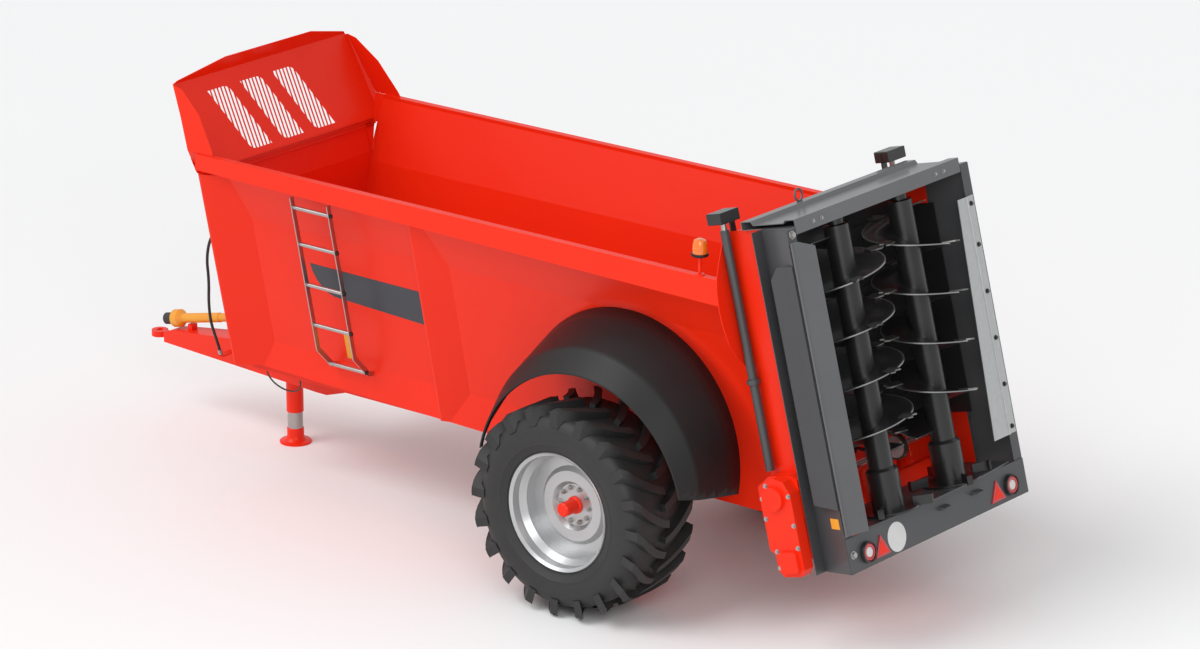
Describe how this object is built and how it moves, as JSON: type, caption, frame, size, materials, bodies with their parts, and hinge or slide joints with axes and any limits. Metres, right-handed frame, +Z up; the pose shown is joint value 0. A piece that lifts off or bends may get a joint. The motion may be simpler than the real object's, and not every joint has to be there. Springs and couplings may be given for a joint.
{
  "type": "trailed muck spreader",
  "caption": "Trailed farm muck spreader: deep narrow hopper with chain floor, leaning upright beaters at the rear, large wheels, drawbar with support leg and drive shaft.",
  "frame": {"origin": "centre of the footprint on the ground, under the middle of the overall length and width", "axes": "+X to the rear (discharge end), +Y to the machine's right, +Z up"},
  "size_m": [7.2436, 3, 2.9727],
  "materials": {
    "red_paint": "gloss",
    "red_casting": "gloss paint",
    "grey_paint": "satin",
    "beater_paint": "satin",
    "galvanised": "matt",
    "steel": "brushed",
    "dark_steel": "oiled",
    "silver_paint": "gloss",
    "tyre_rubber": "matt",
    "black_plastic": "matt",
    "yellow_plastic": "satin",
    "amber_plastic": "gloss",
    "lamp_plastic": "gloss",
    "marker_plastic": "gloss",
    "hose_rubber": "matt"
  },
  "bodies": {
    "chassis": {"axle_beam": "red_paint", "beacon": "amber_plastic", "beater_bearings": "beater_paint", "beater_gearbox": "red_casting", "chassis_frame": "red_paint", "conveyor_chains": "dark_steel", "conveyor_slats": "dark_steel", "deflector_mounts": "galvanised", "drawbar": "red_paint", "front_wall": "red_paint", "headboard": "red_paint", "headboard_grilles": "red_paint", "headboard_wings": "red_paint", "hitch_eye": "steel", "hopper_floor": "red_paint", "hopper_wall_left": "red_paint", "hopper_wall_right": "red_paint", "hose_coupler": "steel", "hydraulic_hose": "hose_rubber", "ladder": "grey_paint", "leg_tube": "red_paint", "light_bar": "grey_paint", "light_cable": "hose_rubber", "mudguards": "black_plastic", "pto_guard": "yellow_plastic", "ram_cylinders": "grey_paint", "rear_box": "red_paint", "rear_frame": "grey_paint", "rear_lamps": "lamp_plastic", "rear_markers": "marker_plastic", "rear_roof": "grey_paint", "side_gearbox": "red_casting", "side_liners": "grey_paint", "spreading_table": "grey_paint", "top_rail_left": "red_paint", "top_rail_right": "red_paint", "wall_posts": "red_paint"},
    "wheel_left": {"tyre_left": "tyre_rubber", "wheel_rim_left": "silver_paint", "wheel_hub_left": "red_paint", "wheel_nuts_left": "steel"},
    "wheel_right": {"tyre_right": "tyre_rubber", "wheel_rim_right": "silver_paint", "wheel_hub_right": "red_paint", "wheel_nuts_right": "steel"},
    "beater_left": {"beater_tube_left": "beater_paint", "beater_flight_left": "beater_paint", "beater_knives_left": "beater_paint"},
    "beater_right": {"beater_tube_right": "beater_paint", "beater_flight_right": "beater_paint", "beater_knives_right": "beater_paint"},
    "conveyor_drive": {"conveyor_drive_shaft": "steel"},
    "conveyor_idler": {"conveyor_idler_shaft": "steel"},
    "driveline": {"driveline": "dark_steel"},
    "pto": {"pto_shaft": "dark_steel"},
    "door": {"slurry_door": "grey_paint", "ram_rods": "steel"},
    "leg": {"leg": "steel"},
    "deflector_left": {"deflector_left": "grey_paint"},
    "deflector_right": {"deflector_right": "galvanised"}
  },
  "joints": [
    {"name": "wheel_left_spin", "type": "hinge", "parent": "chassis", "child": "wheel_left", "pos_m": [1.4672, -1.2, 0.732], "axis": [0, 1, 0], "continuous": true},
    {"name": "wheel_right_spin", "type": "hinge", "parent": "chassis", "child": "wheel_right", "pos_m": [1.4672, 1.2, 0.732], "axis": [0, 1, 0], "continuous": true},
    {"name": "beater_left_spin", "type": "hinge", "parent": "chassis", "child": "beater_left", "pos_m": [3.1747, -0.35, 1.59615], "axis": [-0.2453, 0, 0.9694], "continuous": true},
    {"name": "beater_right_spin", "type": "hinge", "parent": "chassis", "child": "beater_right", "pos_m": [3.1747, 0.35, 1.59615], "axis": [-0.2453, 0, 0.9694], "continuous": true},
    {"name": "driveline_spin", "type": "hinge", "parent": "chassis", "child": "driveline", "pos_m": [0.4672, 0, 0.937], "axis": [1, 0, 0], "continuous": true},
    {"name": "pto_spin", "type": "hinge", "parent": "chassis", "child": "pto", "pos_m": [-3.4828, 0, 0.685], "axis": [0.9772, 0, 0.2123], "continuous": true},
    {"name": "conveyor_drive_spin", "type": "hinge", "parent": "chassis", "child": "conveyor_drive", "pos_m": [2.8572, 0, 0.985], "axis": [0, 1, 0], "continuous": true},
    {"name": "conveyor_idler_spin", "type": "hinge", "parent": "chassis", "child": "conveyor_idler", "pos_m": [-2.0128, 0, 0.985], "axis": [0, 1, 0], "continuous": true},
    {"name": "door_lift", "type": "slide", "parent": "chassis", "child": "door", "axis": [-0.2453, 0, 0.9694], "range_m": [0, 0.9]},
    {"name": "leg_slide", "type": "slide", "parent": "chassis", "child": "leg", "axis": [0, 0, 1], "range_m": [0, 0.115]},
    {"name": "deflector_left_hinge", "type": "hinge", "parent": "chassis", "child": "deflector_left", "pos_m": [3.2633, -1.004, 1.82487], "axis": [-0.2453, 0, 0.9694], "range_deg": [-110, 18]},
    {"name": "deflector_right_hinge", "type": "hinge", "parent": "chassis", "child": "deflector_right", "pos_m": [3.25457, 0.903, 1.82266], "axis": [-0.2453, 0, 0.9694], "range_deg": [0, 100]}
  ],
  "couplings": [
    {"joint": "beater_right_spin", "follows": "beater_left_spin", "ratio": -1},
    {"joint": "driveline_spin", "follows": "beater_left_spin", "ratio": 2.33},
    {"joint": "pto_spin", "follows": "beater_left_spin", "ratio": 2.33},
    {"joint": "conveyor_idler_spin", "follows": "conveyor_drive_spin", "ratio": 1}
  ]
}
